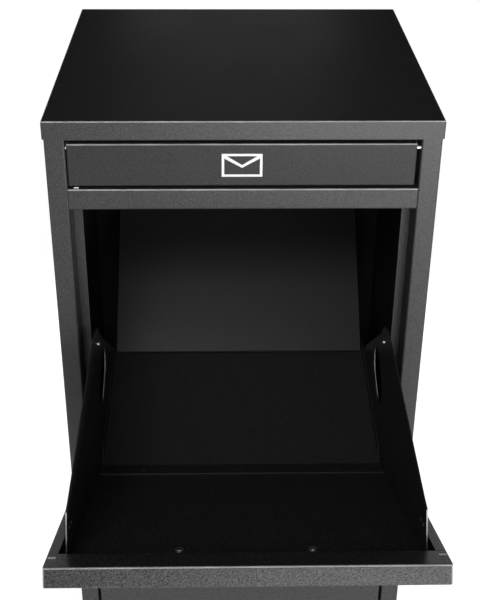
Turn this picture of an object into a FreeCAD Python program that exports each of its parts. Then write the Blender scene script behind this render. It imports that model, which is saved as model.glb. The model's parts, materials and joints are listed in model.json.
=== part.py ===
"""Parcel drop box: a folded sheet-steel cabinet with letter flap, tipping hopper and collection door.

Frame: millimetres, +Z up, the front faces -Y, +X to the right of a person facing it.
The origin is the centre of the cabinet's base.
"""
import FreeCAD, Part
import math
import os
import re
import Sketcher

Vector = FreeCAD.Vector

# ---------------------------------------------------------------- driving dimensions
SIZES = [
    # cabinet
    ("roof_width", 410.0, "over the roof cap"),
    ("roof_depth", 375.0, "over the roof cap"),
    ("total_height", 1020.0, "floor to roof"),
    ("sheet", 1.2, "steel sheet thickness"),
    ("bend", 1.9, "outer radius of a fold"),
    ("seat", 0.3, "gap between a piece and its seat"),
    ("roof_lip", 20.0, "depth of the roof cap's lip"),
    ("post_face", 21.3, "width of a corner post's face"),
    ("post_return", 30.0, "depth of the recess behind a post's face"),
    ("jamb_flange", 9.6, "flange at the bottom of that recess"),
    ("rear_flange", 15.0, "side panel's flange behind the back panel"),
    ("roof_tab_inset", 40.0, "that tab short of the front and the back"),
    ("roof_tab", 22.0, "side panel's tab under the roof"),
    ("header_height", 21.0, "header rail behind the roof lip"),
    ("crossbar_drop", 77.3, "roof to crossbar"),
    ("crossbar_height", 23.8, "face of the crossbar"),
    ("rail_depth", 19.3, "front to the stop lips"),
    ("stop_lip", 7.0, "height of a stop lip"),
    ("sill_height", 26.0, "face of the sill rail"),
    ("sill_hem", 4.0, "depth of the sill rail's top hem"),
    ("plinth_height", 33.0, "face of the plinth rail"),
    ("base_flange", 25.0, "upturned edge of the base plate"),
    ("stop_lip_margin", 33.0, "a stop lip's ends short of the posts"),
    # fixings
    ("rivet_radius", 2.0, "rivet shank"),
    ("back_rivet_inset", 100.0, "outer back rivets from the floor or the roof"),
    ("base_rivet_inset", 70.0, "base rivets from the front or the back"),
    ("rivet_head", 4.0, "rivet head radius"),
    ("head_height", 1.0, "rivet head height"),
    ("hole_play", 0.05, "hole radius beyond its shank"),
    ("screw_radius", 2.5, "machine screw"),
    ("screw_head", 4.6, "machine screw's head"),
    ("screw_head_height", 2.4, "machine screw's head"),
    ("stud_radius", 2.5, "roof stud"),
    ("stud_inset", 80.0, "roof stud from the front or the back"),
    ("stud_length", 12.0, "roof stud below the roof"),
    ("nut_radius", 4.6, "nut, across corners over two"),
    ("nut_height", 4.0, "roof nut"),
    ("anchor_radius", 5.0, "floor anchor hole"),
    ("anchor_span_x", 280.0, "floor anchors, side to side"),
    ("anchor_span_y", 220.0, "floor anchors, front to back"),
    ("wall_hole_radius", 4.25, "wall fixing hole"),
    ("wall_span_x", 280.0, "wall holes, side to side"),
    ("wall_span_z", 700.0, "wall holes, bottom to top"),
    ("wall_low", 150.0, "lower wall holes above the floor"),
    # baffle
    ("baffle_gap", 4.1, "anti-fishing panel inside the planes of the side plates"),
    ("baffle_foot_back", 185.0, "its lower edge behind the front"),
    ("baffle_foot_rise", 33.6, "its lower edge above the hopper's hinge"),
    ("baffle_height", 189.0, "its lower edge to its fold on the back panel"),
    ("baffle_flange", 22.0, "its flange on the back panel"),
    ("baffle_return", 12.0, "its side returns"),
    ("baffle_rivet_pitch", 110.0, "its rivets apart"),
    # letter flap
    ("flap_gap_left", 0.9, "left post to letter flap"),
    ("flap_gap_right", 3.9, "right post to letter flap"),
    ("flap_height", 47.8, "letter flap"),
    ("flap_depth", 10.0, "letter flap's folded edges"),
    ("flap_gap", 3.3, "below the letter flap"),
    ("flap_recess", 1.0, "flap face behind the front"),
    ("flap_pin_radius", 2.2, "letter flap's pins"),
    ("collar_lip", 0.8, "a small pin's collar beyond its shank"),
    ("flap_pin_down", 5.6, "pins below the flap's top edge"),
    ("flap_pin_back", 4.5, "pins behind the flap's face"),
    ("flap_stop_inset", 5.0, "stop angle from the flap's left end"),
    ("flap_stop_width", 5.2, "stop angle behind the flap"),
    ("flap_stop_height", 12.4, "stop angle behind the flap"),
    ("symbol_width", 42.0, "envelope pictogram"),
    ("symbol_height", 26.0, "envelope pictogram"),
    ("symbol_stroke", 2.6, "envelope pictogram"),
    ("symbol_relief", 0.25, "envelope pictogram"),
    # hopper
    ("open_angle", 66.6, "hopper door, open, from upright"),
    ("hopper_length", 348.7, "hopper door, bottom to top"),
    ("hopper_top_gap", 1.8, "crossbar to hopper door"),
    ("hopper_side_gap", 0.4, "post to hopper door"),
    ("hopper_bottom_lip", 4.6, "hopper door's bottom edge, cut short for the floor"),
    ("pan_depth", 19.0, "depth of a door's folded edge"),
    ("far_flange", 31.5, "hopper door's top flange"),
    ("flange_seam", 0.6, "open seam between the side flanges and the top flange"),
    ("side_flange", 9.4, "hopper door's side flanges"),
    ("hinge_inset", 6.0, "hopper hinge from the face and from the bottom edge"),
    ("hinge_radius", 3.0, "hopper hinge pins"),
    ("hinge_head", 4.2, "hopper hinge pin heads"),
    ("pin_reach", 2.5, "a pin's end beyond the post's return"),
    ("clip_sheet", 0.8, "clips on the hinge pins"),
    ("hinge_head_length", 5.0, "hopper hinge pin heads"),
    ("sill_gap", 3.0, "hopper door to sill rail"),
    ("plate_inset", 14.0, "side plate's outer face inside the hopper door's side"),
    ("plate_foot", 12.0, "side plate's foot on the door"),
    ("plate_foot_start", 16.0, "that foot's lower end up the door"),
    ("plate_foot_end", 6.0, "that foot short of the plate's far end"),
    ("plate_far_margin", 46.7, "side plate short of the hopper door's top edge"),
    ("plate_far_height", 52.0, "its far edge above the door"),
    ("plate_far_cut", 12.0, "its far corner's cut"),
    ("plate_far_rise", 5.0, "that cut"),
    ("ear_front", 96.0, "front of the ear up the door"),
    ("ear_front_height", 160.0, "front of the ear above the door"),
    ("ear_tip_front", 61.0, "front of the ear's tip up the door"),
    ("ear_tip_back", 38.0, "back of the ear's tip up the door"),
    ("ear_height", 174.5, "tip of the ear above the door"),
    ("ear_back", 11.0, "back of the ear up the door"),
    ("ear_back_height", 160.0, "back of the ear above the door"),
    ("tail_length", 160.0, "hopper floor beyond the door's bottom edge"),
    ("tail_rise", 105.0, "hopper floor's rear edge above the door plane"),
    ("tail_start", 8.0, "fold of the hopper floor, up the door"),
    ("floor_overlap", 40.0, "hopper floor on the door"),
    ("floor_side", 14.0, "hopper floor's side returns"),
    ("slot_width", 42.0, "slot in the side plate"),
    ("slot_low_up", -2.5, "slot's lower end up the door"),
    ("slot_low_height", 95.0, "slot's lower end above the door"),
    ("slot_high_up", -22.5, "slot's upper end up the door"),
    ("slot_high_height", 116.5, "slot's upper end above the door"),
    ("plate_rivet_inset", 16.4, "farther plate rivet short of the plate's far end"),
    ("plate_rivet_pitch", 13.5, "plate rivets apart"),
    ("plate_rivet_height", 31.8, "plate rivets above the door"),
    ("plate_rivet_radius", 1.6, "plate rivet shank"),
    ("plate_rivet_head", 2.7, "plate rivet head"),
    ("stop_height", 155.6, "stop bolt above the door"),
    ("stop_shank", 2.5, "stop bolt"),
    ("stop_head", 3.4, "stop bolt's head"),
    ("stop_head_height", 3.2, "stop bolt's head"),
    ("stop_spacer", 3.6, "spacer radius on the stop bolt"),
    ("stop_spacer_length", 3.4, "spacer on the stop bolt"),
    ("cap_nut", 5.0, "radius of the cap nut that meets the jamb"),
    ("cap_nut_length", 5.4, "that cap nut"),
    ("floor_rivet_inset", 12.0, "floor rivets from the floor's edge"),
    ("floor_rivet_pitch", 115.0, "floor rivets apart"),
    ("stay_down", 21.5, "corner stay below the door's top edge"),
    ("stay_length", 7.2, "corner stay"),
    ("stay_width", 1.3, "corner stay"),
    ("stay_edge", 1.4, "corner stay from the door's side"),
    ("stay_proud", 1.0, "corner stay through the door's flange"),
    ("handle_down", 80.0, "handle below the hopper door's top edge"),
    ("handle_span", 128.0, "handle, leg to leg"),
    ("handle_radius", 5.0, "handle bar"),
    ("handle_reach", 28.0, "bar's middle from the door"),
    ("handle_corner", 12.0, "handle bar's bends"),
    ("handle_screw_depth", 14.0, "handle screws in the legs"),
    # collection door
    ("door_gap", 3.0, "gap round the collection door"),
    ("door_flange", 12.0, "collection door's flanges"),
    ("door_pin_inset", 6.0, "its pins from the face and the edge"),
    ("door_pin_radius", 3.0, "its pins"),
    ("door_pin_length", 9.0, "its pins inside the door"),
    ("door_pin_collar", 4.6, "collar radius of those pins"),
    ("collar_height", 3.0, "collars on pins, inside a door"),
    ("bush_wall", 1.2, "door bushes"),
    ("bush_flange", 6.4, "flange radius of the door bushes"),
    ("stiffener_width", 44.0, "stiffener in the collection door"),
    ("stiffener_depth", 11.0, "stiffener in the collection door"),
    ("stiffener_foot", 10.0, "stiffener's flanges on the door's skin"),
    ("stiffener_margin", 40.0, "stiffener short of the door's ends"),
    ("lock_edge", 30.0, "lock from the door's free edge"),
    ("lock_up", 330.0, "lock above the floor"),
    ("lock_barrel", 8.5, "lock housing radius"),
    ("lock_rim", 11.0, "lock rim radius"),
    ("lock_rim_height", 2.4, "lock rim"),
    ("lock_length", 28.5, "lock housing behind the face"),
    ("plug_radius", 6.0, "lock plug"),
    ("lock_nut_radius", 13.0, "lock nut, across corners over two"),
    ("lock_nut_height", 4.0, "lock nut"),
    ("cam_length", 31.0, "cam, axis to tip"),
    ("cam_width", 15.0, "cam"),
    ("cam_sheet", 2.0, "cam"),
    ("cam_screw_depth", 9.0, "cam screw in the plug"),
    ("cam_play", 0.6, "cam behind the jamb flange"),
    ("plug_recess", 0.4, "plug's face behind the lock's rim"),
    ("keyway_depth", 12.0, "keyway"),
    ("keyway_width", 1.6, "keyway"),
    ("keyway_length", 7.0, "keyway"),
]

# ---------------------------------------------------------------- what follows from them
DERIVED = {
    "body_half": "roof_width/2 - sheet - seat",
    "front": "sheet + seat - roof_depth/2",
    "rear": "roof_depth/2 - sheet - seat",
    "wall_inner": "body_half - sheet",
    "post_inner": "body_half - post_face",
    "jamb_inner": "post_inner - jamb_flange",
    "jamb_rear": "front + post_return + sheet",
    "roof_under": "total_height - sheet",
    "crossbar_top": "total_height - crossbar_drop",
    "crossbar_bottom": "crossbar_top - crossbar_height",
    "flap_bottom": "crossbar_top + flap_gap",
    "flap_top": "flap_bottom + flap_height",
    "flap_face": "front + flap_recess",
    "flap_pin_z": "flap_top - flap_pin_down",
    "flap_pin_y": "flap_face + flap_pin_back",
    "flap_left": "flap_gap_left - post_inner",
    "flap_right": "post_inner - flap_gap_right",
    "hopper_half": "post_inner - hopper_side_gap",
    "hopper_bottom": "crossbar_bottom - hopper_top_gap - hopper_length",
    "hinge_y": "front + hinge_inset",
    "hinge_z": "hopper_bottom + hinge_inset",
    "sill_top": "hopper_bottom - sill_gap",
    "sill_bottom": "sill_top - sill_height",
    "door_top": "sill_bottom - door_gap",
    "door_bottom": "plinth_height + door_gap",
    "door_half": "post_inner - door_gap",
    "door_pin_x": "-door_half + door_pin_inset",
    "door_pin_y": "front + door_pin_inset",
    "back_inner": "rear - sheet",
    "flange_inner": "back_inner - seat - sheet",
    "plate_outer": "hopper_half - plate_inset",
    "plate_inner": "plate_outer - sheet",
    "plate_far": "hopper_length - plate_far_margin",
    "stop_lip_half": "post_inner - stop_lip_margin",
    "baffle_half": "plate_inner - baffle_gap",
    "baffle_foot_up": "hinge_z + baffle_foot_rise",
    "baffle_top_up": "baffle_foot_up + baffle_height",
    "inner_bend": "bend - sheet",
    "lock_x": "door_half - lock_edge",
    "cam_front": "jamb_rear + cam_play",
    "stop_y": "post_return + sheet + cap_nut + seat - hinge_inset",
    "stop_reach": "(stop_height - hinge_inset)*cos(open_angle*1deg)",
    "stop_up": "hinge_inset + (stop_reach - stop_y)/sin(open_angle*1deg)",
    "handle_up": "hopper_length - handle_down",
    "stud_x": "wall_inner - roof_tab/2",
    "rivet_x": "wall_inner - rear_flange/2",
}

WORD = re.compile(r"[A-Za-z_][A-Za-z_0-9]*")
ALIASES = {name for name, _, _ in SIZES}

doc = FreeCAD.newDocument("ParcelDropBox")
sheet = doc.addObject("Spreadsheet::Sheet", "Sizes")
for row, (alias, value, note) in enumerate(SIZES, start=1):
    sheet.set(f"A{row}", alias)
    sheet.set(f"B{row}", str(value))
    sheet.set(f"C{row}", note)
    sheet.setAlias(f"B{row}", alias)
doc.recompute()


def link(text):
    """Turns names of sizes into references to the spreadsheet."""
    def swap(match):
        word = match.group(0)
        if word in DERIVED:
            return "(" + link(DERIVED[word]) + ")"
        if word in ALIASES:
            return "Sizes." + word
        return word
    return WORD.sub(swap, str(text))


# ---------------------------------------------------------------- pieces built from sketches
PLANES = {"XY": ("XY_Plane", 1), "XZ": ("XZ_Plane", -1), "YZ": ("YZ_Plane", 1)}
NORMALS = {"XY": Vector(0, 0, 1), "XZ": Vector(0, 1, 0), "YZ": Vector(1, 0, 0)}
PIECES = []


class Piece:
    """One PartDesign body; its sketches, pads and pockets take their sizes from the spreadsheet."""

    def __init__(self, label):
        self.body = doc.addObject("PartDesign::Body", label)
        self.body.Label = label
        self.origin = {f.Role: f for f in self.body.Origin.OriginFeatures}
        self.count = 0
        PIECES.append(self.body)

    def name(self, kind):
        self.count += 1
        return f"{self.body.Name}_{kind}{self.count}"

    def sketch(self, plane, level):
        role, sign = PLANES[plane]
        drawing = self.body.newObject("Sketcher::SketchObject", self.name("sketch"))
        drawing.AttachmentSupport = [(self.origin[role], "")]
        drawing.MapMode = "FlatFace"
        drawing.setExpression("AttachmentOffset.Base.z", link(f"{sign}*({level})"))
        return drawing

    def pin_point(self, drawing, geometry, position, place):
        for kind, text in zip(("DistanceX", "DistanceY"), place):
            index = drawing.addConstraint(Sketcher.Constraint(kind, geometry, position, 1.0))
            drawing.setExpression(f"Constraints[{index}]", link(text))

    def draw_loop(self, drawing, places):
        first = drawing.GeometryCount
        total = len(places)
        spread = [Vector(math.cos(2*math.pi*i/total), math.sin(2*math.pi*i/total), 0) for i in range(total)]
        for i in range(total):
            drawing.addGeometry(Part.LineSegment(spread[i], spread[(i + 1) % total]), False)
        for i in range(total):
            following = first + (i + 1) % total
            drawing.addConstraint(Sketcher.Constraint("Coincident", first + i, 2, following, 1))
        for i, place in enumerate(places):
            self.pin_point(drawing, first + i, 1, place)

    def draw_circle(self, drawing, centre, radius):
        index = drawing.addGeometry(Part.Circle(Vector(0, 0, 0), Vector(0, 0, 1), 1.0), False)
        self.pin_point(drawing, index, 3, centre)
        constraint = drawing.addConstraint(Sketcher.Constraint("Radius", index, 1.0))
        drawing.setExpression(f"Constraints[{constraint}]", link(radius))

    def grow(self, kind, drawing, length):
        feature = self.body.newObject(f"PartDesign::{kind}", self.name(kind.lower()))
        feature.Profile = drawing
        feature.setExpression("Length", link(length))
        return feature

    def level(self, plane, low, high, cutting):
        """The level where a pad or a pocket starts, so that it fills the stretch from low to high."""
        forward = plane != "XZ"
        return low if forward != cutting else high

    def loops(self, plane, low, high, loops, cutting=False, circles=()):
        drawing = self.sketch(plane, self.level(plane, low, high, cutting))
        for places in loops:
            self.draw_loop(drawing, places)
        for centre, radius in circles:
            self.draw_circle(drawing, centre, radius)
        self.grow("Pocket" if cutting else "Pad", drawing, f"({high}) - ({low})")
        return drawing

    def box(self, x, y, z, cutting=False):
        corners = [(x[0], y[0]), (x[1], y[0]), (x[1], y[1]), (x[0], y[1])]
        return self.loops("XY", z[0], z[1], [corners], cutting)

    def rod(self, plane, low, high, circles, cutting=False):
        return self.loops(plane, low, high, [], cutting, circles)

    def hexagon(self, plane, low, high, centre, radius):
        ring = []
        for i in range(6):
            turn = f"{60*i}*1deg"
            across = f"({centre[0]}) + ({radius})*cos({turn})"
            upward = f"({centre[1]}) + ({radius})*sin({turn})"
            ring.append((across, upward))
        return self.loops(plane, low, high, [ring])

    def round_edges(self, radius, chosen):
        doc.recompute()
        tip = self.body.Tip
        names = [f"Edge{i}" for i, edge in enumerate(tip.Shape.Edges, start=1) if chosen(edge, tip.Shape)]
        if names:
            feature = self.body.newObject("PartDesign::Fillet", self.name("fillet"))
            feature.Base = (tip, names)
            feature.setExpression("Radius", link(radius))

    def folded(self, plane, low, high, path, side):
        """A sheet folded along a path of right angles; side says where its other face lies at each point."""
        other = [(f"({u}) + ({su})*sheet", f"({v}) + ({sv})*sheet") for (u, v), (su, sv) in zip(path, side)]
        drawing = self.loops(plane, low, high, [path + other[::-1]])
        doc.recompute()
        corners = [drawing.Geometry[i].StartPoint for i in range(2*len(path))]
        area = sum(a.x*b.y - b.x*a.y for a, b in zip(corners, corners[1:] + corners[:1]))
        ends = {0, len(path) - 1, len(path), 2*len(path) - 1}
        groups = {True: [], False: []}
        for i, corner in enumerate(corners):
            if i in ends:
                continue
            before = corner - corners[i - 1]
            after = corners[(i + 1) % len(corners)] - corner
            turn = before.x*after.y - before.y*after.x
            groups[turn*area > 0].append(drawing.Placement.multVec(corner))
        for convex, places in groups.items():
            self.round_folds("bend" if convex else "inner_bend", places, NORMALS[plane])
        return drawing

    def round_folds(self, radius, places, axis):
        def on_fold(edge, shape):
            start = edge.Vertexes[0].Point
            run = edge.Vertexes[-1].Point - start
            if run.Length < 1 or run.cross(axis).Length > 1e-4*run.Length:
                return False
            return any((start - place).cross(axis).Length < 1e-3 for place in places)
        self.round_edges(radius, on_fold)


def straight(edge, axis):
    """True for a straight edge along the axis."""
    run = edge.Vertexes[-1].Point - edge.Vertexes[0].Point
    parallel = run.Length > 1 and run.cross(axis).Length < 1e-4*run.Length
    return parallel and edge.Curve.TypeId == "Part::GeomLine"


def at_low(edge, shape, axis):
    """True for an edge that lies on the shape's lowest face along an axis."""
    lowest = getattr(shape.BoundBox, axis + "Min")
    return all(abs(getattr(v, axis) - lowest) < 1e-3 for v in edge.Vertexes)


def mirrored(text):
    return f"-1*({text})"


BOTH = (1, -1)


def side_of(sign, text):
    """An x position on the right for 1, or on the left for -1."""
    return text if sign > 0 else mirrored(text)


def span(sign, inner, outer):
    """A stretch of x from inner to outer, on the right or on the left, lowest first."""
    return (inner, outer) if sign > 0 else (mirrored(outer), mirrored(inner))


# ---------------------------------------------------------------- cabinet
def roof_cap():
    piece = Piece("roof_cap")
    x = ("-roof_width/2", "roof_width/2")
    y = ("-roof_depth/2", "roof_depth/2")
    piece.box(x, y, ("total_height - roof_lip", "total_height"))

    def outer(edge, shape):
        upright = straight(edge, Vector(0, 0, 1))
        on_top = all(abs(v.Z - shape.BoundBox.ZMax) < 1e-3 for v in edge.Vertexes)
        return upright or on_top
    piece.round_edges("bend", outer)
    inner_x = ("-roof_width/2 + sheet", "roof_width/2 - sheet")
    inner_y = ("-roof_depth/2 + sheet", "roof_depth/2 - sheet")
    piece.box(inner_x, inner_y, ("total_height - roof_lip", "roof_under"), cutting=True)


def roof_fixings():
    studs = Piece("roof_studs")
    nuts = Piece("roof_nuts")
    for sign in BOTH:
        for y in STUD_ROWS:
            place = (side_of(sign, "stud_x"), y)
            studs.rod("XY", "roof_under - stud_length", "roof_under", [(place, "stud_radius")])
            nut_top = "roof_under - sheet"
            nuts.hexagon("XY", f"{nut_top} - nut_height", nut_top, place, "nut_radius")
            bore = [(place, "stud_radius + hole_play")]
            nuts.rod("XY", f"{nut_top} - nut_height", nut_top, bore, cutting=True)


def side_panel(label, sign):
    """Side wall, corner post, return and jamb flange folded from one sheet, with a tab under the roof."""
    piece = Piece(label)
    s = sign
    path = [
        ("jamb_inner", "front + post_return"),
        ("post_inner", "front + post_return"),
        ("post_inner", "front"),
        ("body_half", "front"),
        ("body_half", "flange_inner + sheet"),
        ("wall_inner - rear_flange", "flange_inner + sheet"),
    ]
    path = [(side_of(s, x), y) for x, y in path]
    side = [(0, 1), (s, 1), (s, 1), (-s, 1), (-s, -1), (0, -1)]
    piece.folded("XY", "0", "roof_under", path, side)
    tab = span(s, "wall_inner - roof_tab", "wall_inner + 0.4*sheet")
    piece.box(tab, ("front + roof_tab_inset", "rear - roof_tab_inset"), ("roof_under - sheet", "roof_under"))
    studs = [((side_of(s, "stud_x"), y), "stud_radius + seat") for y in STUD_ROWS]
    piece.rod("XY", "roof_under - 2*sheet", "roof_under", studs, cutting=True)
    low, high = span(s, "post_inner - 1", "post_inner + 3*sheet")
    pins = [
        (("hinge_y", "hinge_z"), "hinge_radius + hole_play"),
        (("flap_pin_y", "flap_pin_z"), "flap_pin_radius + hole_play"),
    ]
    piece.rod("YZ", low, high, pins, cutting=True)
    back = [((side_of(s, "rivet_x"), z), "rivet_radius + hole_play") for z in RIVET_LEVELS]
    piece.rod("XZ", "flange_inner - 1", "back_inner", back, cutting=True)
    base = [((y, "base_flange/2"), "rivet_radius + hole_play") for y in BASE_RIVETS]
    low, high = span(s, "wall_inner - 1", "body_half + 1")
    piece.rod("YZ", low, high, base, cutting=True)


RIVET_LEVELS = ("back_rivet_inset", "total_height/2", "total_height - back_rivet_inset")
BASE_RIVETS = ("front + base_rivet_inset", "rear - base_rivet_inset")
STUD_ROWS = ("front + stud_inset", "rear - stud_inset")


def back_panel():
    piece = Piece("back_panel")
    width = ("-wall_inner + seat", "wall_inner - seat")
    piece.box(width, ("back_inner", "rear"), ("0", "roof_under - seat"))
    holes = [((side_of(s, "rivet_x"), z), "rivet_radius + hole_play") for s in BOTH for z in RIVET_LEVELS]
    holes += [((side_of(s, "wall_span_x/2"), z), "wall_hole_radius") for s in BOTH for z in WALL_LEVELS]
    holes += [((x, "baffle_top_up + baffle_flange/2"), "rivet_radius + hole_play") for x in BAFFLE_RIVETS]
    piece.rod("XZ", "back_inner - 1", "rear + 1", holes, cutting=True)


WALL_LEVELS = ("wall_low", "wall_low + wall_span_z")
BAFFLE_RIVETS = ("-baffle_rivet_pitch", "0", "baffle_rivet_pitch")


def through_back(piece, place, inner_face):
    """A rivet from the back panel's outer face to the sheet that lies inside it."""
    piece.rod("XZ", inner_face, "rear", [(place, "rivet_radius")])
    piece.rod("XZ", "rear", "rear + head_height", [(place, "rivet_head")])
    piece.rod("XZ", f"{inner_face} - head_height", inner_face, [(place, "rivet_radius*1.5")])


def cabinet_rivets():
    edges = Piece("back_panel_rivets")
    for sign in BOTH:
        for z in RIVET_LEVELS:
            through_back(edges, (side_of(sign, "rivet_x"), z), "flange_inner")
    baffle = Piece("baffle_rivets")
    for x in BAFFLE_RIVETS:
        through_back(baffle, (x, "baffle_top_up + baffle_flange/2"), "back_inner - sheet")
    base = Piece("base_rivets")
    inner_face = "wall_inner - seat - sheet"
    for sign in BOTH:
        for y in BASE_RIVETS:
            place = (y, "base_flange/2")
            base.rod("YZ", *span(sign, inner_face, "body_half"), [(place, "rivet_radius")])
            base.rod("YZ", *span(sign, "body_half", "body_half + head_height"), [(place, "rivet_head")])
            tail = span(sign, f"{inner_face} - head_height", inner_face)
            base.rod("YZ", *tail, [(place, "rivet_radius*1.5")])


def base_plate():
    """Flat floor with upturned sides and a tongue between the jambs."""
    piece = Piece("base_plate")
    half = "wall_inner - seat"
    back = "flange_inner - seat"
    piece.box((f"-({half})", half), ("jamb_rear + seat", back), ("0", "sheet"))
    tongue = "jamb_inner - seat"
    piece.box((f"-({tongue})", tongue), ("front + sheet + seat", "jamb_rear + 2*seat"), ("0", "sheet"))
    for sign in BOTH:
        wall = span(sign, f"{half} - sheet", half)
        piece.box(wall, ("jamb_rear + seat", back), ("0.4*sheet", "base_flange"))
        holes = [((y, "base_flange/2"), "rivet_radius + hole_play") for y in BASE_RIVETS]
        piece.rod("YZ", *span(sign, f"{half} - 2*sheet", "wall_inner"), holes, cutting=True)
    anchors = []
    for sign in BOTH:
        for end in BOTH:
            place = (side_of(sign, "anchor_span_x/2"), side_of(end, "anchor_span_y/2"))
            anchors.append((place, "anchor_radius"))
    piece.rod("XY", "-1", "2*sheet", anchors, cutting=True)


def header_rail():
    piece = Piece("header_rail")
    path = [
        ("front + rail_depth/2", "roof_under - header_height"),
        ("front", "roof_under - header_height"),
        ("front", "roof_under"),
        ("front + post_return - bend", "roof_under"),
    ]
    piece.folded("YZ", "-post_inner", "post_inner", path, [(0, 1), (1, 1), (1, -1), (0, -1)])


def crossbar():
    """Rail between the letter flap and the hopper, with a lip that the closed hopper door meets."""
    piece = Piece("crossbar")
    path = [
        ("front + post_return - bend", "crossbar_top"),
        ("front", "crossbar_top"),
        ("front", "crossbar_bottom"),
        ("front + rail_depth + sheet", "crossbar_bottom"),
    ]
    piece.folded("YZ", "-post_inner", "post_inner", path, [(0, -1), (1, -1), (1, 1), (0, 1)])
    lip_y = ("front + rail_depth", "front + rail_depth + sheet")
    lip_z = ("crossbar_bottom - stop_lip", "crossbar_bottom + 0.4*sheet")
    piece.box(("-stop_lip_half", "stop_lip_half"), lip_y, lip_z)


def sill_rail():
    """Rail between the hopper and the collection door; its top hem stays clear of the tipping floor."""
    piece = Piece("sill_rail")
    path = [
        ("front + sill_hem", "sill_top"),
        ("front", "sill_top"),
        ("front", "sill_bottom"),
        ("front + rail_depth + sheet", "sill_bottom"),
    ]
    piece.folded("YZ", "-post_inner", "post_inner", path, [(0, -1), (1, -1), (1, 1), (0, 1)])
    lip_y = ("front + rail_depth", "front + rail_depth + sheet")
    lip_z = ("sill_bottom - stop_lip", "sill_bottom + 0.4*sheet")
    piece.box(("-stop_lip_half", "stop_lip_half"), lip_y, lip_z)
    bush = [(("door_pin_x", "door_pin_y"), BUSH_HOLE)]
    piece.rod("XY", "sill_bottom - 1", "sill_bottom + 2*sheet", bush, cutting=True)


def plinth_rail():
    piece = Piece("plinth_rail")
    path = [
        ("front + rail_depth + sheet", "plinth_height"),
        ("front", "plinth_height"),
        ("front", "0"),
    ]
    piece.folded("YZ", "-post_inner", "post_inner", path, [(0, -1), (1, -1), (1, 0)])
    lip_y = ("front + rail_depth", "front + rail_depth + sheet")
    lip_z = ("plinth_height - 0.4*sheet", "plinth_height + door_gap + stop_lip")
    piece.box(("-stop_lip_half", "stop_lip_half"), lip_y, lip_z)
    bush = [(("door_pin_x", "door_pin_y"), BUSH_HOLE)]
    piece.rod("XY", "plinth_height - 2*sheet", "plinth_height + 1", bush, cutting=True)


BUSH_BORE = "door_pin_radius + hole_play"
BUSH_BARREL = "door_pin_radius + hole_play + bush_wall"
BUSH_HOLE = "door_pin_radius + 2*hole_play + bush_wall"


def door_bushes():
    """Flanged plastic bushes in the sill rail and the plinth rail."""
    piece = Piece("door_bushes")
    place = ("door_pin_x", "door_pin_y")
    ends = (
        ("sill_bottom - door_gap + seat", "sill_bottom", "sill_bottom + 2*sheet"),
        ("plinth_height + door_gap - seat", "plinth_height", "plinth_height - 2*sheet"),
    )
    for outside, face, inside in ends:
        low, high = (outside, face) if "sill" in face else (face, outside)
        piece.rod("XY", low, high, [(place, "bush_flange")])
        low, high = (face, inside) if "sill" in face else (inside, face)
        piece.rod("XY", low, high, [(place, BUSH_BARREL)])
        low, high = (outside, inside) if "sill" in face else (inside, outside)
        piece.rod("XY", low, high, [(place, BUSH_BORE)], cutting=True)


def rear_baffle():
    """Sloping panel behind the hopper: parcels pass under it, a hand cannot reach over it."""
    piece = Piece("rear_baffle")
    foot_y = "front + baffle_foot_back"
    top_y = "back_inner - sheet"
    lift = "sheet*sqrt(((back_inner - front - baffle_foot_back)^2 + (baffle_top_up - baffle_foot_up)^2))" \
           "/(back_inner - front - baffle_foot_back)"
    outline = [
        (foot_y, "baffle_foot_up"),
        (top_y, "baffle_top_up"),
        (top_y, "baffle_top_up + baffle_flange"),
        ("back_inner", "baffle_top_up + baffle_flange"),
        ("back_inner", f"baffle_top_up - {lift}"),
        (foot_y, f"baffle_foot_up - {lift}"),
    ]
    piece.loops("YZ", "-baffle_half", "baffle_half", [outline])
    for sign in BOTH:
        ribs = span(sign, "baffle_half - sheet", "baffle_half")
        drop = f"({lift}) + baffle_return"
        rib = [
            (foot_y, "baffle_foot_up - sheet/2"),
            (top_y, "baffle_top_up - sheet/2"),
            (top_y, f"baffle_top_up - {drop}"),
            (f"{foot_y} + baffle_return", f"baffle_foot_up - sheet"),
        ]
        piece.loops("YZ", *ribs, [rib])
    holes = [((x, "baffle_top_up + baffle_flange/2"), "rivet_radius + hole_play") for x in BAFFLE_RIVETS]
    piece.rod("XZ", "back_inner - 2*sheet", "back_inner + 1", holes, cutting=True)


def letter_flap_stop():
    """Small bright angle on the crossbar behind the flap's lower left corner."""
    piece = Piece("letter_flap_stop")
    x = ("flap_left + flap_stop_inset", "flap_left + flap_stop_inset + flap_stop_width")
    back = "flap_face + flap_depth + seat"
    piece.box(x, ("flap_face + bend", f"{back} + sheet"), ("crossbar_top", "crossbar_top + sheet"))
    piece.box(x, (back, f"{back} + sheet"), ("crossbar_top + 0.4*sheet", "crossbar_top + flap_stop_height"))


# ---------------------------------------------------------------- letter flap
def letter_flap():
    """Pan with its open side to the rear, hung on two pins near its top edge."""
    piece = Piece("letter_flap")
    x = ("flap_left", "flap_right")
    piece.box(x, ("flap_face", "flap_face + flap_depth"), ("flap_bottom", "flap_top"))
    piece.round_edges("bend", lambda edge, shape: at_low(edge, shape, "Y") or straight(edge, Vector(0, 1, 0)))
    inner = ("flap_left + sheet", "flap_right - sheet")
    inner_z = ("flap_bottom + sheet", "flap_top - sheet")
    piece.box(inner, ("flap_face + sheet", "flap_face + flap_depth"), inner_z, cutting=True)
    holes = [(("flap_pin_y", "flap_pin_z"), "flap_pin_radius + hole_play")]
    piece.rod("YZ", "flap_right - 2*sheet", "flap_right + 1", holes, cutting=True)
    piece.rod("YZ", "flap_left - 1", "flap_left + 2*sheet", holes, cutting=True)


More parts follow.
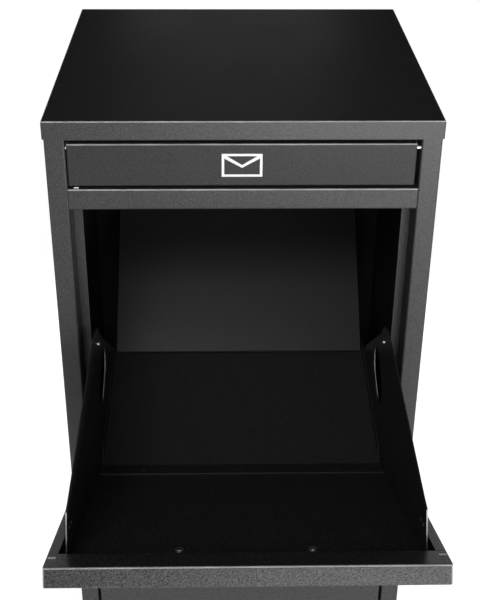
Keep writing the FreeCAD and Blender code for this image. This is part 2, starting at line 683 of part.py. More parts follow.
def letter_flap_pins():
    piece = Piece("letter_flap_pins")
    place = ("flap_pin_y", "flap_pin_z")
    right = ("flap_right - sheet", "post_inner + sheet + pin_reach")
    left = ("-post_inner - sheet - pin_reach", "flap_left + sheet")
    for low, high in (right, left):
        piece.rod("YZ", low, high, [(place, "flap_pin_radius")])
    head = [(place, "flap_pin_radius + collar_lip")]
    piece.rod("YZ", "flap_right - sheet - collar_height", "flap_right - sheet", head)
    piece.rod("YZ", "flap_left + sheet", "flap_left + sheet + collar_height", head)


def letter_symbol():
    """Plain envelope pictogram, thin sheet on the flap's face."""
    piece = Piece("letter_symbol")
    mid_x = "(flap_left + flap_right)/2"
    mid_z = "(flap_bottom + flap_height/2)"
    w, v = "symbol_width/2", "symbol_height/2"
    corners = ((-1, -1), (1, -1), (1, 1), (-1, 1))
    frame = [(f"{mid_x} + {a}*{w}", f"{mid_z} + {b}*{v}") for a, b in corners]
    t = "symbol_stroke"
    upper = [
        (f"{mid_x} - {w} + 2*{t}", f"{mid_z} + {v} - {t}"),
        (f"{mid_x}", f"{mid_z} - 0.1*{v} + {t}*0.6"),
        (f"{mid_x} + {w} - 2*{t}", f"{mid_z} + {v} - {t}"),
    ]
    lower = [
        (f"{mid_x} - {w} + {t}", f"{mid_z} - {v} + {t}"),
        (f"{mid_x} + {w} - {t}", f"{mid_z} - {v} + {t}"),
        (f"{mid_x} + {w} - {t}", f"{mid_z} + {v} - 2*{t}"),
        (f"{mid_x}", f"{mid_z} - 0.1*{v} - {t}*0.6"),
        (f"{mid_x} - {w} + {t}", f"{mid_z} + {v} - 2*{t}"),
    ]
    piece.loops("XZ", "flap_face - symbol_relief", "flap_face", [frame, upper, lower])


# ---------------------------------------------------------------- hopper, drawn closed and then tipped open
HOPPER = []


def hopper_piece(label):
    """Its frame: X across, Y inwards from the door's face, Z up the door from its bottom edge."""
    piece = Piece(label)
    HOPPER.append(piece.body)
    return piece


def hopper_door():
    piece = hopper_piece("hopper_door")
    x = ("-hopper_half", "hopper_half")
    piece.box(x, ("0", "pan_depth"), ("0", "hopper_length"))

    def outer(edge, shape):
        upright = straight(edge, Vector(0, 0, 1))
        on_top = all(abs(v.Z - shape.BoundBox.ZMax) < 1e-3 for v in edge.Vertexes)
        return on_top or upright and at_low(edge, shape, "Y")
    piece.round_edges("bend", outer)
    inner = ("-hopper_half + sheet", "hopper_half - sheet")
    piece.box(inner, ("sheet", "pan_depth - sheet"), ("sheet", "hopper_length - sheet"), cutting=True)
    mouth = ("-hopper_half + side_flange", "hopper_half - side_flange")
    piece.box(mouth, ("sheet", "pan_depth + 1"), ("sheet", "hopper_length - far_flange"), cutting=True)
    low_edge = ("hopper_bottom_lip", "pan_depth + 1")
    piece.box(mouth, low_edge, ("-1", "2*sheet"), cutting=True)
    pins = [(("hinge_inset", "hinge_inset"), "hinge_radius + hole_play")]
    for sign in BOTH:
        piece.rod("YZ", *span(sign, "hopper_half - 2*sheet", "hopper_half + 1"), pins, cutting=True)
        slit = span(sign, "hopper_half - stay_edge - stay_length", "hopper_half - stay_edge")
        middle = "hopper_length - stay_down"
        slit_z = (f"{middle} - stay_width/2", f"{middle} + stay_width/2")
        piece.box(slit, ("pan_depth - 2*sheet", "pan_depth + 1"), slit_z, cutting=True)
        seam = span(sign, "hopper_half - side_flange - 1", "hopper_half - sheet")
        seam_z = ("hopper_length - far_flange - flange_seam", "hopper_length - far_flange")
        piece.box(seam, ("pan_depth - sheet", "pan_depth + 1"), seam_z, cutting=True)
    screws = [((side_of(s, "handle_span/2"), "handle_up"), "screw_radius + hole_play") for s in BOTH]
    piece.rod("XZ", "-1", "2*sheet", screws + floor_rivet_holes(), cutting=True)


FLOOR_RIVETS = ("-floor_rivet_pitch", "0", "floor_rivet_pitch")


def corner_stays():
    """Short webs that hold the door's top flange square; their bare ends show in its slits."""
    piece = hopper_piece("corner_stays")
    for sign in BOTH:
        outer = "hopper_half - stay_edge - hole_play"
        x = span(sign, f"{outer} - stay_length + 2*hole_play", outer)
        middle = "hopper_length - stay_down"
        z = (f"{middle} - stay_width/2 + hole_play", f"{middle} + stay_width/2 - hole_play")
        piece.box(x, ("sheet", "pan_depth + stay_proud"), z)


def hopper_floor():
    """Sheet on the door that carries on behind the hinge, its sides turned up along the side plates."""
    piece = hopper_piece("hopper_floor")
    slope = "(tail_rise - sheet)/(tail_start + tail_length)"
    lift = f"sheet*sqrt(1 + ({slope})^2)"
    outline = [
        ("sheet", "floor_overlap"),
        ("sheet", "tail_start"),
        ("tail_rise", "-tail_length"),
        (f"tail_rise + {lift}", "-tail_length"),
        ("2*sheet", f"tail_start + ({lift} - sheet)/({slope})"),
        ("2*sheet", "floor_overlap"),
    ]
    piece.loops("YZ", "-plate_inner", "plate_inner", [outline])
    for sign in BOTH:
        start_y = "sheet*1.5 + tail_start*" + slope
        rib = [
            (start_y, "0"),
            ("tail_rise + sheet/2", "-tail_length"),
            ("tail_rise + floor_side", "-tail_length"),
            (f"{start_y} + floor_side", "0"),
        ]
        piece.loops("YZ", *span(sign, "plate_inner - sheet", "plate_inner"), [rib])
    piece.rod("XZ", "0", "3*sheet", floor_rivet_holes(), cutting=True)


def floor_rivet_holes():
    up = "floor_overlap - floor_rivet_inset"
    return [((x, up), "plate_rivet_radius + hole_play") for x in FLOOR_RIVETS]


def side_plate(label, sign):
    piece = hopper_piece(label)
    outline = [
        ("sheet", "tail_start"),
        ("sheet", "plate_far"),
        ("plate_far_height", "plate_far"),
        ("plate_far_height + plate_far_rise", "plate_far - plate_far_cut"),
        ("ear_front_height", "ear_front"),
        ("ear_height", "ear_tip_front"),
        ("ear_height", "ear_tip_back"),
        ("ear_back_height", "ear_back"),
        ("tail_rise + 2*sheet", "-tail_length"),
        ("tail_rise", "-tail_length"),
    ]
    piece.loops("YZ", *span(sign, "plate_inner", "plate_outer"), [outline])

    def corner(edge, shape):
        if not straight(edge, Vector(1, 0, 0)):
            return False
        place = edge.Vertexes[0].Point
        return place.y > shape.BoundBox.YMax*0.9
    piece.round_edges("8*sheet", corner)
    foot = span(sign, "plate_outer - 0.4*sheet", "plate_outer + plate_foot")
    piece.box(foot, ("sheet", "2*sheet"), ("plate_foot_start", "plate_far - plate_foot_end"))
    through = span(sign, "plate_inner - 1", "plate_outer + 1")
    holes = [(("stop_height", "stop_up"), "stop_shank + hole_play")]
    holes += [(("plate_rivet_height", up), "plate_rivet_radius + hole_play") for up in PLATE_RIVETS]
    piece.rod("YZ", *through, holes, cutting=True)
    run_y, run_z = "(slot_high_height - slot_low_height)", "(slot_high_up - slot_low_up)"
    run = f"sqrt({run_y}^2 + {run_z}^2)"
    wide_y, wide_z = f"{run_z}/{run}*slot_width/2", f"(-{run_y}/{run}*slot_width/2)"
    slot = [
        (f"slot_low_height + {wide_y}", f"slot_low_up + {wide_z}"),
        (f"slot_high_height + {wide_y}", f"slot_high_up + {wide_z}"),
        (f"slot_high_height - {wide_y}", f"slot_high_up - {wide_z}"),
        (f"slot_low_height - {wide_y}", f"slot_low_up - {wide_z}"),
    ]
    piece.loops("YZ", *through, [slot], cutting=True)
    for end in (("slot_low_height", "slot_low_up"), ("slot_high_height", "slot_high_up")):
        piece.rod("YZ", *through, [(end, "slot_width/2")], cutting=True)


PLATE_RIVETS = ("plate_far - plate_rivet_inset", "plate_far - plate_rivet_inset - plate_rivet_pitch")


def plate_rivets():
    piece = hopper_piece("side_plate_rivets")
    for sign in BOTH:
        for up in PLATE_RIVETS:
            place = ("plate_rivet_height", up)
            piece.rod("YZ", *span(sign, "plate_inner", "plate_outer"), [(place, "plate_rivet_radius")])
            head = span(sign, "plate_inner - head_height", "plate_inner")
            piece.rod("YZ", *head, [(place, "plate_rivet_head")])
            tail = span(sign, "plate_outer", "plate_outer + head_height")
            piece.rod("YZ", *tail, [(place, "plate_rivet_radius*1.4")])
    soften_heads(piece, "0.35*head_height")


def soften_heads(piece, radius):
    """Rounds the outer rim of each head; shanks and seats stay sharp."""
    doc.recompute()
    widest = max(e.Curve.Radius for e in piece.body.Shape.Edges if e.Curve.TypeId == "Part::GeomCircle")

    def rim(edge, shape):
        if edge.Curve.TypeId != "Part::GeomCircle" or edge.Curve.Radius < widest - 1e-3:
            return False
        faces = shape.ancestorsOfType(edge, Part.Face)
        flat = [f for f in faces if f.Surface.TypeId == "Part::GeomPlane"]
        return len(flat) == 1 and len(flat[0].Wires) == 1
    piece.round_edges(radius, rim)


def floor_rivets():
    piece = hopper_piece("floor_rivets")
    for x in FLOOR_RIVETS:
        place = (x, "floor_overlap - floor_rivet_inset")
        piece.rod("XZ", "0", "2*sheet", [(place, "plate_rivet_radius")])
        piece.rod("XZ", "2*sheet", "2*sheet + head_height", [(place, "plate_rivet_head")])
        piece.rod("XZ", "-0.5*head_height", "0", [(place, "plate_rivet_radius*1.4")])


def stop_bolts():
    """Bolts through the ears; their cap nuts meet the jambs from behind when the hopper is open."""
    bolts = hopper_piece("stop_bolts")
    spacers = hopper_piece("stop_spacers")
    nuts = hopper_piece("stop_cap_nuts")
    place = ("stop_height", "stop_up")
    nut_from = "plate_outer + stop_spacer_length"
    nut_to = f"{nut_from} + cap_nut_length"
    thread_end = f"{nut_to} - bend"
    for sign in BOTH:
        bolts.rod("YZ", *span(sign, "plate_inner", thread_end), [(place, "stop_shank")])
        bolts.rod("YZ", *span(sign, "plate_inner - stop_head_height", "plate_inner"), [(place, "stop_head")])
        spacers.rod("YZ", *span(sign, "plate_outer", nut_from), [(place, "stop_spacer")])
        bore = [(place, "stop_shank + hole_play")]
        spacers.rod("YZ", *span(sign, "plate_outer", nut_from), bore, cutting=True)
        nuts.rod("YZ", *span(sign, nut_from, nut_to), [(place, "cap_nut")])
    soften_heads(bolts, "2.2*head_height")
    soften_heads(nuts, "cap_nut/2")
    for sign in BOTH:
        nuts.rod("YZ", *span(sign, nut_from, f"{thread_end} + hole_play"), bore, cutting=True)


def hinge_pins():
    pins = hopper_piece("hopper_hinge_pins")
    clips = hopper_piece("hinge_clips")
    place = ("hinge_inset", "hinge_inset")
    for sign in BOTH:
        wall = "hopper_half - sheet"
        pins.rod("YZ", *span(sign, wall, "post_inner + sheet + pin_reach"), [(place, "hinge_radius")])
        pins.rod("YZ", *span(sign, f"{wall} - hinge_head_length", wall), [(place, "hinge_head")])
        clip = span(sign, "post_inner + sheet + seat", "post_inner + sheet + seat + clip_sheet")
        clips.rod("YZ", *clip, [(place, "hinge_inset - sheet - seat")])
        clips.rod("YZ", *clip, [(place, "hinge_radius + hole_play")], cutting=True)


def hopper_handle():
    """Bent round bar on two legs, screwed from inside."""
    parts = []

    def keep(item):
        parts.append(item)
        return item

    def aim(item, x, y, z, axis, angle):
        item.Placement = FreeCAD.Placement(Vector(0, 0, 0), FreeCAD.Rotation(axis, angle))
        for letter, text in zip("xyz", (x, y, z)):
            item.setExpression(f"Placement.Base.{letter}", link(text))

    for sign in BOTH:
        tag = "right" if sign > 0 else "left"
        leg = keep(doc.addObject("Part::Cylinder", f"handle_leg_{tag}"))
        leg.setExpression("Radius", link("handle_radius"))
        leg.setExpression("Height", link("handle_reach - handle_corner"))
        aim(leg, side_of(sign, "handle_span/2"), "0", "handle_up", Vector(1, 0, 0), 90)
        bow = keep(doc.addObject("Part::Torus", f"handle_bend_{tag}"))
        bow.setExpression("Radius1", link("handle_corner"))
        bow.setExpression("Radius2", link("handle_radius"))
        bow.Angle3 = 90
        x = side_of(sign, "handle_span/2 - handle_corner")
        aim(bow, x, "handle_corner - handle_reach", "handle_up", Vector(0, 0, 1), 270 if sign > 0 else 180)
    grip = keep(doc.addObject("Part::Cylinder", "handle_grip"))
    grip.setExpression("Radius", link("handle_radius"))
    grip.setExpression("Height", link("handle_span - 2*handle_corner"))
    aim(grip, "handle_corner - handle_span/2", "-handle_reach", "handle_up", Vector(0, 1, 0), 90)
    bar = doc.addObject("Part::MultiFuse", "handle_bar")
    bar.Shapes = parts
    bores = []
    for sign in BOTH:
        bore = doc.addObject("Part::Cylinder", "handle_bore_right" if sign > 0 else "handle_bore_left")
        bore.setExpression("Radius", link("screw_radius + hole_play"))
        bore.setExpression("Height", link("handle_screw_depth + 0.5"))
        aim(bore, side_of(sign, "handle_span/2"), "0", "handle_up", Vector(1, 0, 0), 90)
        bores.append(bore)
    both = doc.addObject("Part::MultiFuse", "handle_bores")
    both.Shapes = bores
    handle = doc.addObject("Part::Cut", "hopper_handle")
    handle.Label = "hopper_handle"
    handle.Base = bar
    handle.Tool = both
    PIECES.append(handle)
    HOPPER.append(handle)
    screws = hopper_piece("handle_screws")
    for sign in BOTH:
        place = (side_of(sign, "handle_span/2"), "handle_up")
        screws.rod("XZ", "-handle_screw_depth", "sheet", [(place, "screw_radius")])
        screws.rod("XZ", "sheet", "sheet + screw_head_height", [(place, "screw_head")])
    soften_heads(screws, "0.8*head_height")


def tip_hopper_open():
    """Turns the hopper's pieces about the hinge from upright to open."""
    turned_y = "hinge_inset*cos(open_angle*1deg) - hinge_inset*sin(open_angle*1deg)"
    turned_z = "hinge_inset*sin(open_angle*1deg) + hinge_inset*cos(open_angle*1deg)"
    for item in HOPPER:
        item.Placement = FreeCAD.Placement(Vector(0, 0, 0), FreeCAD.Rotation(Vector(1, 0, 0), 45))
        item.setExpression("Placement.Rotation.Angle", link("open_angle"))
        item.setExpression("Placement.Base.y", link(f"hinge_y - ({turned_y})"))
        item.setExpression("Placement.Base.z", link(f"hinge_z - ({turned_z})"))


# ---------------------------------------------------------------- collection door and its lock
def collection_door():
    piece = Piece("collection_door")
    x = ("-door_half", "door_half")
    z = ("door_bottom", "door_top")
    piece.box(x, ("front", "front + pan_depth"), z)
    piece.round_edges("bend", lambda edge, shape: at_low(edge, shape, "Y") or straight(edge, Vector(0, 1, 0)))
    inner = ("-door_half + sheet", "door_half - sheet")
    inner_z = ("door_bottom + sheet", "door_top - sheet")
    piece.box(inner, ("front + sheet", "front + pan_depth - sheet"), inner_z, cutting=True)
    mouth = ("-door_half + door_flange", "door_half - door_flange")
    mouth_z = ("door_bottom + door_flange", "door_top - door_flange")
    piece.box(mouth, ("front + 2*sheet", "front + pan_depth + 1"), mouth_z, cutting=True)
    pins = [(("door_pin_x", "door_pin_y"), "door_pin_radius + hole_play")]
    piece.rod("XY", "door_top - 2*sheet", "door_top + 1", pins, cutting=True)
    piece.rod("XY", "door_bottom - 1", "door_bottom + 2*sheet", pins, cutting=True)
    lock = [(("lock_x", "lock_up"), "lock_barrel + hole_play")]
    piece.rod("XZ", "front - 1", "front + 2*sheet", lock, cutting=True)


def collection_door_pins():
    piece = Piece("collection_door_pins")
    place = ("door_pin_x", "door_pin_y")
    tip = "2*sheet + 1"
    shank = [(place, "door_pin_radius")]
    piece.rod("XY", "door_top - door_pin_length", f"sill_bottom + {tip}", shank)
    piece.rod("XY", f"plinth_height - ({tip})", "door_bottom + door_pin_length", shank)
    collar = [(place, "door_pin_collar")]
    piece.rod("XY", "door_top - sheet - collar_height", "door_top - sheet", collar)
    piece.rod("XY", "door_bottom + sheet", "door_bottom + sheet + collar_height", collar)


def door_stiffener():
    piece = Piece("door_stiffener")
    half = "stiffener_width/2"
    skin = "front + sheet"
    path = [
        (f"-{half} - stiffener_foot", skin),
        (f"-{half}", skin),
        (f"-{half}", f"{skin} + stiffener_depth"),
        (half, f"{skin} + stiffener_depth"),
        (half, skin),
        (f"{half} + stiffener_foot", skin),
    ]
    side = [(0, 1), (-1, 1), (-1, 1), (1, 1), (1, 1), (0, 1)]
    low, high = "door_bottom + stiffener_margin", "door_top - stiffener_margin"
    piece.folded("XY", low, high, path, side)


def lock():
    place = ("lock_x", "lock_up")
    body = Piece("lock_body")
    body.rod("XZ", "front - lock_rim_height", "front", [(place, "lock_rim")])
    body.rod("XZ", "front", "front + lock_length", [(place, "lock_barrel")])
    soften_heads(body, "0.6*head_height")
    bore = [(place, "plug_radius + hole_play")]
    body.rod("XZ", "front - lock_rim_height - 1", "front + lock_length + 1", bore, cutting=True)
    nut = Piece("lock_nut")
    nut_from = "front + sheet"
    nut.hexagon("XZ", nut_from, f"{nut_from} + lock_nut_height", place, "lock_nut_radius")
    bore = [(place, "lock_barrel + hole_play")]
    nut.rod("XZ", nut_from, f"{nut_from} + lock_nut_height", bore, cutting=True)
    plug = Piece("lock_plug")
    plug_face = "front - lock_rim_height + plug_recess"
    plug.rod("XZ", plug_face, "cam_front", [(place, "plug_radius")])
    slot_x = ("lock_x - keyway_width/2", "lock_x + keyway_width/2")
    slot_z = ("lock_up - keyway_length/2", "lock_up + keyway_length/2")
    plug.box(slot_x, (f"{plug_face} - 1", f"{plug_face} + keyway_depth"), slot_z, cutting=True)
    bore = [(place, "screw_radius + hole_play")]
    plug.rod("XZ", "cam_front - cam_screw_depth - sheet", "cam_front + 1", bore, cutting=True)
    cam = Piece("lock_cam")
    cam_y = ("cam_front", "cam_front + cam_sheet")
    blade = ("lock_up - cam_length", "lock_up + cam_width/2")
    cam.box(("lock_x - cam_width/2", "lock_x + cam_width/2"), cam_y, blade)
    cam.round_edges("3*sheet", lambda edge, shape: straight(edge, Vector(0, 1, 0)))
    bore = [(place, "screw_radius + hole_play")]
    cam.rod("XZ", "cam_front - 1", "cam_front + cam_sheet + 1", bore, cutting=True)
    screw = Piece("cam_screw")
    screw.rod("XZ", "cam_front - cam_screw_depth", "cam_front + cam_sheet", [(place, "screw_radius")])
    head = "cam_front + cam_sheet"
    screw.rod("XZ", head, f"{head} + screw_head_height", [(place, "screw_head")])
    soften_heads(screw, "0.8*head_height")


# ---------------------------------------------------------------- build, test and write
def build():
    roof_cap()
    roof_fixings()
    side_panel("right_side_panel", 1)
    side_panel("left_side_panel", -1)
    back_panel()
    cabinet_rivets()
    base_plate()
    header_rail()
    crossbar()
    sill_rail()
    plinth_rail()
    door_bushes()
    rear_baffle()
    letter_flap_stop()
    letter_flap()
    letter_flap_pins()
    letter_symbol()
    hopper_door()
    corner_stays()
    hopper_floor()
    side_plate("right_side_plate", 1)
    side_plate("left_side_plate", -1)
    plate_rivets()
    floor_rivets()
    stop_bolts()
    hinge_pins()
    hopper_handle()
    tip_hopper_open()
    collection_door()
    collection_door_pins()
    door_stiffener()
    lock()
    doc.recompute()


def check():
    for item in doc.Objects:
        if "Invalid" in item.State or "Error" in item.State:
            raise RuntimeError(f"{item.Label} failed: {item.State}")
    for item in PIECES:
        if item.Shape.isNull() or not item.Shape.isValid() or not item.Shape.Solids:
            raise RuntimeError(f"{item.Label} has no valid solid")


def write():
    os.makedirs("parts", exist_ok=True)
    for item in PIECES:
        item.Shape.exportStep(os.path.join("parts", item.Label + ".step"))
        box = item.Shape.BoundBox
        size = f"{box.XLength:7.1f} {box.YLength:7.1f} {box.ZLength:7.1f}"
        print(f"{item.Label:24s} solids {len(item.Shape.Solids):2d}  size {size}")


build()
check()
write()
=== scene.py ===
"""Looks of the parcel drop box: powder coat, plated fixings, chrome lock, studio floor, light and camera."""
import json
import math

import bpy
from mathutils import Matrix, Vector


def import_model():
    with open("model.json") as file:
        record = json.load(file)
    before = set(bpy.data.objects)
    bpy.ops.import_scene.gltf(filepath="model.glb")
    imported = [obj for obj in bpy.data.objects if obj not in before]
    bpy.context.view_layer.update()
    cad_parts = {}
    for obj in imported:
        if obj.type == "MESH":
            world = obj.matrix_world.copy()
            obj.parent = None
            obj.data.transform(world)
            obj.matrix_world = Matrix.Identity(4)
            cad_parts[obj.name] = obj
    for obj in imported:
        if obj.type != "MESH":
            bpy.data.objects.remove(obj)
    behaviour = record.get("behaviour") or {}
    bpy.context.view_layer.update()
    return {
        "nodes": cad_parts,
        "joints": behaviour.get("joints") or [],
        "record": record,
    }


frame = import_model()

MM = 0.001
WHITE = (1.0, 1.0, 1.0, 1.0)

# The hopper rests open, so the angle that it closes by is the one that its door leans forward by. Its hinge
# sits a little behind the door's outer face.
HOPPER = next(joint for joint in frame["joints"] if joint["name"] == "hopper_tilt")
HOPPER_TILT = math.radians(HOPPER["range_deg"][1])
HINGE_INSET = 6*MM
DOOR_NORMAL = Vector((0.0, math.cos(HOPPER_TILT), math.sin(HOPPER_TILT)))
DOOR_FACE = DOOR_NORMAL.dot(Vector(HOPPER["pos_m"])) - HINGE_INSET

# Powder coat: mean brightness, brightness of the painted highlights on its folds and plate edges, roughness
# where it is glossiest and dullest, the heights of its two reliefs, and the cells per metre of its noises.
COAT = 0.038
HIGHLIGHT_BRIGHTNESS = 0.55
GLOSSY, DULL = 0.30, 0.36
PEBBLE_HEIGHT = 0.26*MM
WAVE_HEIGHT = 0.10*MM
PEBBLES = 620.0
WAVES = 330.0
GLOSS_DRIFT = 6.0
# Cells per metre of the noise that breaks up the painted fold highlights.
HIGHLIGHT_BREAKUP = 35.0
FOLDED_NODES = (
    "roof_cap", "left_side_panel", "right_side_panel", "header_rail", "crossbar", "collection_door")

# Floor: its size, the strength of its added glow near its middle and far out, and the distances from its
# middle between which that glow rises. The weaker glow near the middle is painted shade around the object.
FLOOR_SIZE = 14.0
GLOW_NEAR, GLOW_FAR = 0.74, 0.98
RISE_START, RISE_END = 0.4, 2.6

# World: strength of the dim room, and the degrees over the horizon between which the white background gives
# way to it for mirrored and transmitted rays. The roof, seen at a flat angle, would mirror a white upper
# half and turn grey.
ROOM = 0.022
SWEEP_WHITE = -3.0
SWEEP_END = 1.0

# Camera: place in metres, heading to the right, pitch down and roll in degrees, and its lens. The shift is
# there because the photograph's axis passes above the middle of its frame.
CAMERA_PLACE = (-0.02365, -1.18676, 1.44774)
HEADING, PITCH, ROLL = 1.157, 27.342, 0.367
SENSOR, LENS, SHIFT = 36.0, 64.69, -1/6


# ---------------------------------------------------------------- node helpers
class Look:
    """Node tree of a material or a world, with short calls to add and join nodes."""

    def __init__(self, owner, kind="Material"):
        self.owner = owner
        owner.use_nodes = True
        self.tree = owner.node_tree
        self.tree.nodes.clear()
        self.output = self.add("Output" + kind)
        coordinates = self.add("TexCoord").outputs
        self.place = coordinates["Object"]
        self.normal = coordinates["Normal"]
        self.direction = coordinates["Generated"]

    def add(self, kind, **settings):
        node = self.tree.nodes.new("ShaderNode" + kind)
        for key, value in settings.items():
            setattr(node, key, value)
        return node

    def join(self, source, target):
        self.tree.links.new(source, target)

    def noise(self, scale, detail=3.0, stretch=None):
        """Noise of so many cells per metre, packed closer along the axes that stretch names."""
        node = self.add("TexNoise")
        node.inputs["Scale"].default_value = scale
        node.inputs["Detail"].default_value = detail
        place = self.place
        if stretch:
            mapping = self.add("Mapping")
            mapping.inputs["Scale"].default_value = stretch
            self.join(place, mapping.inputs["Vector"])
            place = mapping.outputs["Vector"]
        self.join(place, node.inputs["Vector"])
        return node.outputs["Fac"]

    def spread(self, value, low, high, start=0.0, end=1.0):
        """Maps a value's stretch from start to end onto low..high, and holds it there beyond."""
        node = self.add("MapRange")
        levels = {"From Min": start, "From Max": end, "To Min": low, "To Max": high}
        for key, level in levels.items():
            node.inputs[key].default_value = level
        self.join(value, node.inputs["Value"])
        return node.outputs["Result"]

    def vary(self, noise, low, high):
        """Maps a noise, most of which lies between 0.3 and 0.7, onto low..high."""
        return self.spread(noise, low, high, 0.3, 0.7)

    def tint(self, value, dark, light):
        """Mixes two colours, each a triple, a grey's brightness or another node's output."""
        node = self.add("Mix", data_type="RGBA")
        for socket, color in ((node.inputs[6], dark), (node.inputs[7], light)):
            if isinstance(color, float):
                socket.default_value = (color, color, color, 1.0)
            elif isinstance(color, tuple):
                socket.default_value = (*color, 1.0)
            else:
                self.join(color, socket)
        self.join(value, node.inputs[0])
        return node.outputs[2]

    def math(self, operation, first, second):
        node = self.add("Math", operation=operation)
        self.join(first, node.inputs[0])
        self.join(second, node.inputs[1])
        return node.outputs["Value"]

    def times(self, first, second):
        return self.math("MULTIPLY", first, second)

    def larger(self, first, second):
        return self.math("MAXIMUM", first, second)

    def split(self, vector):
        """A vector's outputs X, Y and Z."""
        node = self.add("SeparateXYZ")
        self.join(vector, node.inputs["Vector"])
        return node.outputs

    def tipped_normal(self, tilt):
        """The surface's normal, turned about the X axis by an angle."""
        node = self.add("VectorRotate", rotation_type="X_AXIS")
        node.inputs["Angle"].default_value = tilt
        self.join(self.normal, node.inputs["Vector"])
        return node.outputs["Vector"]

    def bump(self, height, distance, strength, under=None):
        node = self.add("Bump")
        node.inputs["Strength"].default_value = strength
        node.inputs["Distance"].default_value = distance
        self.join(height, node.inputs["Height"])
        if under:
            self.join(under, node.inputs["Normal"])
        return node.outputs["Normal"]

    def surface(self, color, roughness, normal=None, **levels):
        """Joins a principled shader to the output; levels are its other sockets, with _ for spaces."""
        node = self.add("BsdfPrincipled")
        for key, value in levels.items():
            node.inputs[key.replace("_", " ")].default_value = value
        self.join(color, node.inputs["Base Color"])
        self.join(roughness, node.inputs["Roughness"])
        if normal:
            self.join(normal, node.inputs["Normal"])
        self.join(node.outputs["BSDF"], self.output.inputs["Surface"])
        return node.outputs["BSDF"]

    def glow(self, kind, strength):
        """White Emission or Background shader, its strength a number or another node's output."""
        node = self.add(kind)
        node.inputs["Color"].default_value = WHITE
        if isinstance(strength, float):
            node.inputs["Strength"].default_value = strength
        else:
            self.join(strength, node.inputs["Strength"])
        return node.outputs[0]

    def choose(self, chooser, off, on):
        """Joins one of two shaders to the output."""
        node = self.add("MixShader")
        self.join(chooser, node.inputs[0])
        self.join(off, node.inputs[1])
        self.join(on, node.inputs[2])
        self.join(node.outputs["Shader"], self.output.inputs["Surface"])


def material(name):
    return Look(bpy.data.materials.new(name))


# ---------------------------------------------------------------- powder coat
def fold_highlight_mask(look, tilt):
    """Mask of the rounded folds that face upwards, where the coat is lightened as a painted highlight.

    On a fold the normal leans away from all three of the sheet's own axes, so none of its parts is near 1.
    """
    size = look.add("VectorMath", operation="ABSOLUTE")
    look.join(look.tipped_normal(tilt), size.inputs[0])
    along = look.split(size.outputs["Vector"])
    largest = look.larger(look.larger(along["X"], along["Y"]), along["Z"])
    folded = look.spread(largest, 1.0, 0.0, 0.86, 0.99)
    # Painted highlight only on folds that face upwards, as if lit from above.
    upward = look.spread(look.split(look.normal)["Z"], 0.0, 1.0, 0.10, 0.45)
    # Noise that breaks up the painted highlight along the folds.
    broken_up = look.spread(look.noise(HIGHLIGHT_BREAKUP), 0.6, 1.0, 0.3, 0.6)
    return look.times(look.times(folded, upward), broken_up)


def edge_highlight_mask(look, tilt):
    """Mask of a side plate's cut edges that face away from the hinge, lightened as a painted highlight that
    is full from 30 mm off the door and fades to a tenth by 20 mm, which paints shade on the edges' lower
    part.
    """
    outward = look.spread(look.split(look.tipped_normal(tilt))["Z"], 0.0, 1.0, 0.5, 0.9)
    height = look.add("VectorMath", operation="DOT_PRODUCT")
    height.inputs[1].default_value = DOOR_NORMAL
    look.join(look.place, height.inputs[0])
    # Painted shade: the painted highlight fades to a tenth on the edges' lowest 20 mm above the door.
    raised = look.spread(height.outputs["Value"], 0.1, 1.0, DOOR_FACE + 20*MM, DOOR_FACE + 30*MM)
    return look.times(outward, raised)


def powder_coat(name="powder_coat", tilt=0.0, pebble=0.6, fleck=0.014, sheen=0.25, highlight_mask=None):
    """Fine-textured anthracite powder coat: small pebbles over a slower waviness, slightly uneven gloss, and
    painted highlights lightening the coat where a mask is given.
    """
    look = material(name)
    grain = look.noise(PEBBLES, detail=2.0)
    peel = look.noise(WAVES, detail=1.0)
    drift = look.noise(GLOSS_DRIFT, detail=2.0)
    color = look.tint(look.vary(grain, 0.0, 1.0), COAT - fleck, COAT + fleck)
    # Painted highlight: the coat lightens towards the highlight brightness where the mask says.
    if highlight_mask:
        color = look.tint(highlight_mask(look, tilt), color, HIGHLIGHT_BRIGHTNESS)
    skin = look.bump(peel, WAVE_HEIGHT, 0.6)
    skin = look.bump(grain, PEBBLE_HEIGHT*pebble, 0.8, under=skin)
    look.surface(color, look.vary(drift, GLOSSY, DULL), skin, Specular_IOR_Level=sheen)
    return look.owner


def coats():
    """The powder coat's variants by node: painted highlights on folds, the tipped hopper door, its plates
    with painted edge highlights, the duller flap.
    """
    folded = powder_coat("powder_coat_folded", highlight_mask=fold_highlight_mask)
    plates = powder_coat("powder_coat_plates", -HOPPER_TILT, highlight_mask=edge_highlight_mask)
    own = {name: folded for name in FOLDED_NODES}
    own["hopper_door"] = powder_coat(
        "powder_coat_hopper", -HOPPER_TILT, pebble=1.3, fleck=0.030, sheen=0.20, highlight_mask=fold_highlight_mask)
    own["left_side_plate"] = own["right_side_plate"] = plates
    own["letter_flap"] = powder_coat("powder_coat_flap", pebble=0.5, fleck=0.008, sheen=0.10, highlight_mask=fold_highlight_mask)
    own["rear_baffle"] = powder_coat("powder_coat_smooth", pebble=0.4, fleck=0.006)
    return own


# ---------------------------------------------------------------- other finishes
def zinc():
    """Bright zinc plate with fine drawing marks and a slightly cloudy passivation."""
    look = material("zinc")
    marks = look.noise(90.0, stretch=(1.0, 12.0, 12.0))
    cloud = look.noise(260.0, detail=2.0)
    color = look.tint(cloud, (0.62, 0.63, 0.64), (0.84, 0.85, 0.86))
    look.surface(color, look.vary(marks, 0.30, 0.50), look.bump(marks, 0.02*MM, 0.4), Metallic=1.0)
    return look.owner


